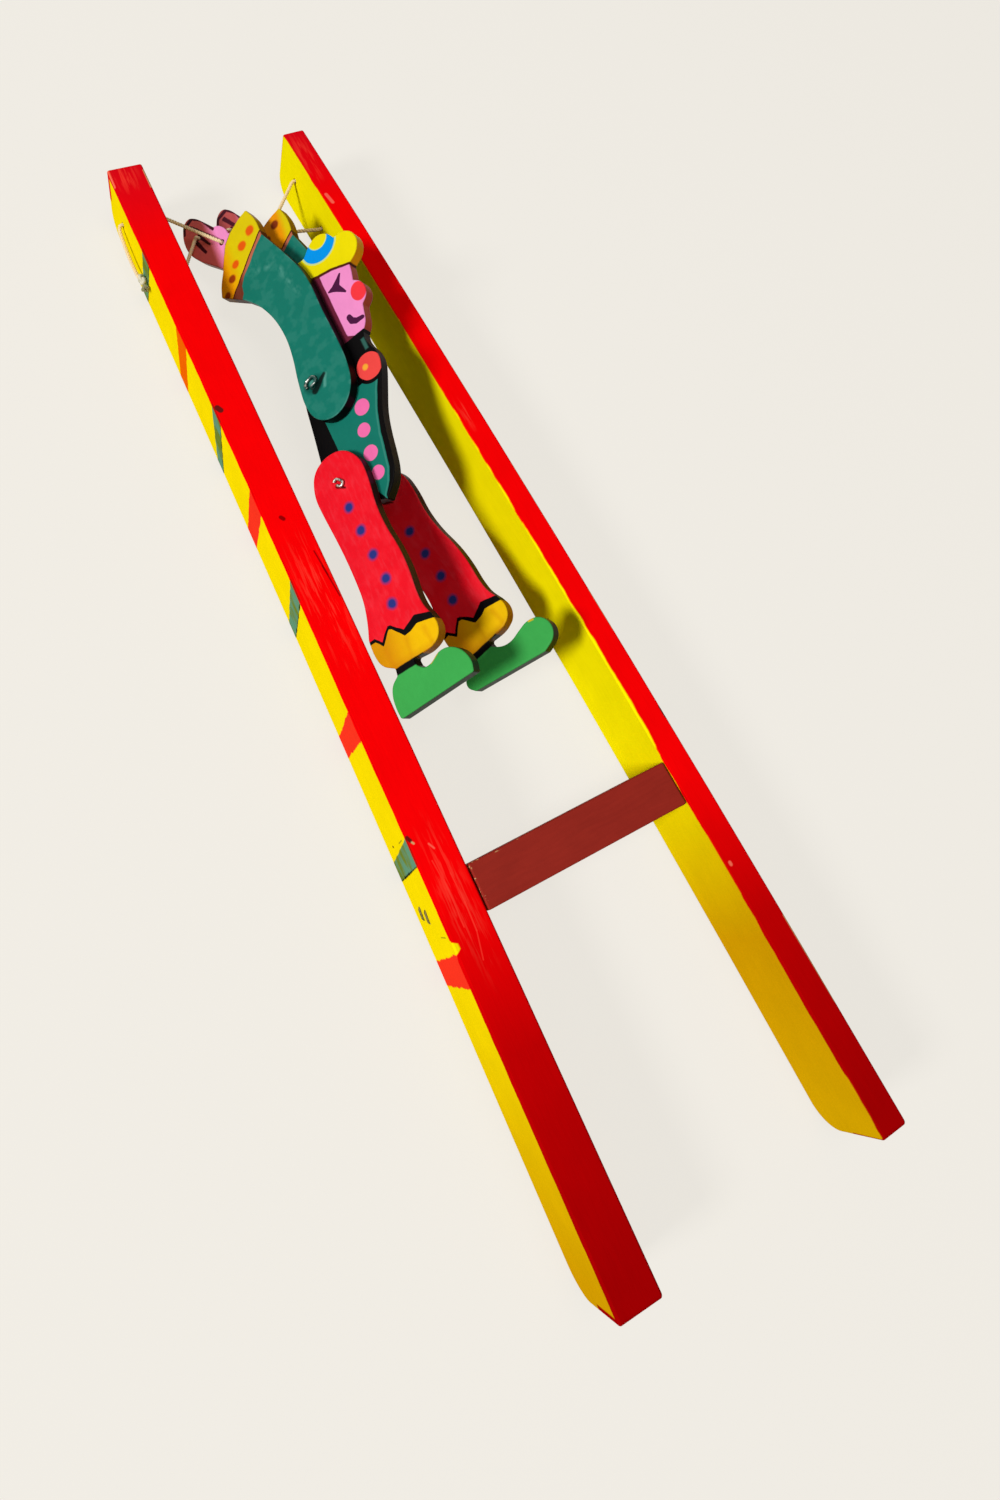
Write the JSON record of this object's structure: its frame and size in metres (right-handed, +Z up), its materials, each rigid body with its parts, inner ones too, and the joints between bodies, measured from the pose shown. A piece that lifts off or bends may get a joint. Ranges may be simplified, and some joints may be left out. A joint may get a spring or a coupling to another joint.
{
  "type": "acrobat toy",
  "caption": "Wooden squeeze toy: a jointed clown cut from thin board hangs by its hands on a looped string between painted rails held apart by a crossbar.",
  "frame": {"origin": "on the table the toy lies on, midway between the two rails and halfway along them", "axes": "+Z up from the table, +Y along the rails towards the string, +X across from the thick rail to the thin one"},
  "size_m": [0.0848, 0.3413, 0.0446],
  "materials": {
    "rail_paint": "brushed enamel, yellow wide faces and red edges",
    "crossbar_paint": "dark red enamel",
    "arm_paint": "teal enamel with painted cuff and hand",
    "torso_paint": "painted jacket, face and hat",
    "leg_paint": "red enamel with painted ruffle and shoe",
    "pin_wire": "bent steel wire",
    "staple_wire": "painted-over steel wire",
    "string": "twisted natural string"
  },
  "bodies": {
    "crossbar": {"crossbar": "crossbar_paint"},
    "left_rail": {"left_rail": "rail_paint", "left_staples": "staple_wire"},
    "right_rail": {"right_rail": "rail_paint", "right_staples": "staple_wire"},
    "string": {"string": "string"},
    "near_arm": {"near_arm": "arm_paint"},
    "torso": {"torso_and_head": "torso_paint", "shoulder_wire": "pin_wire", "hip_wire": "pin_wire"},
    "far_arm": {"far_arm": "arm_paint"},
    "near_leg": {"near_leg": "leg_paint"},
    "far_leg": {"far_leg": "leg_paint"}
  },
  "joints": [
    {"name": "left_rail_rock", "type": "hinge", "parent": "crossbar", "child": "left_rail", "pos_m": [-0.0293, -0.07782, 0.0125], "axis": [0, 0, 1], "range_deg": [-0.3, 1.2], "stiffness_Nm_per_rad": 20, "deforming": ["string"]},
    {"name": "right_rail_rock", "type": "hinge", "parent": "crossbar", "child": "right_rail", "pos_m": [0.03321, -0.07773, 0.0125], "axis": [0, 0, 1], "range_deg": [-1.2, 0.3], "stiffness_Nm_per_rad": 20, "deforming": ["string"]},
    {"name": "swing", "type": "hinge", "parent": "crossbar", "child": "string", "pos_m": [0, 0.146, 0.0128], "axis": [1, 0, 0], "continuous": true, "deforming": ["string"]},
    {"name": "roll", "type": "hinge", "parent": "string", "child": "near_arm", "pos_m": [-0.00686, 0.1417, 0.00879], "axis": [-0.0773, 0.9791, -0.1879], "range_deg": [-45, 4], "deforming": ["string"]},
    {"name": "shoulder", "type": "hinge", "parent": "near_arm", "child": "torso", "pos_m": [-0.00559, 0.06766, 0.02517], "axis": [-0.6935, 0.1184, 0.7107], "range_deg": [0, 30]},
    {"name": "far_shoulder", "type": "hinge", "parent": "torso", "child": "far_arm", "pos_m": [-0.00559, 0.06766, 0.02517], "axis": [-0.6935, 0.1184, 0.7107], "range_deg": [-30, 0]},
    {"name": "near_hip", "type": "hinge", "parent": "torso", "child": "near_leg", "pos_m": [-0.01229, 0.03533, 0.02445], "axis": [-0.6935, 0.1184, 0.7107], "range_deg": [0, 110]},
    {"name": "far_hip", "type": "hinge", "parent": "torso", "child": "far_leg", "pos_m": [-0.01229, 0.03533, 0.02445], "axis": [-0.6935, 0.1184, 0.7107], "range_deg": [-110, 90]}
  ],
  "couplings": [
    {"joint": "right_rail_rock", "follows": "left_rail_rock", "ratio": -1},
    {"joint": "far_shoulder", "follows": "shoulder", "ratio": -1}
  ]
}
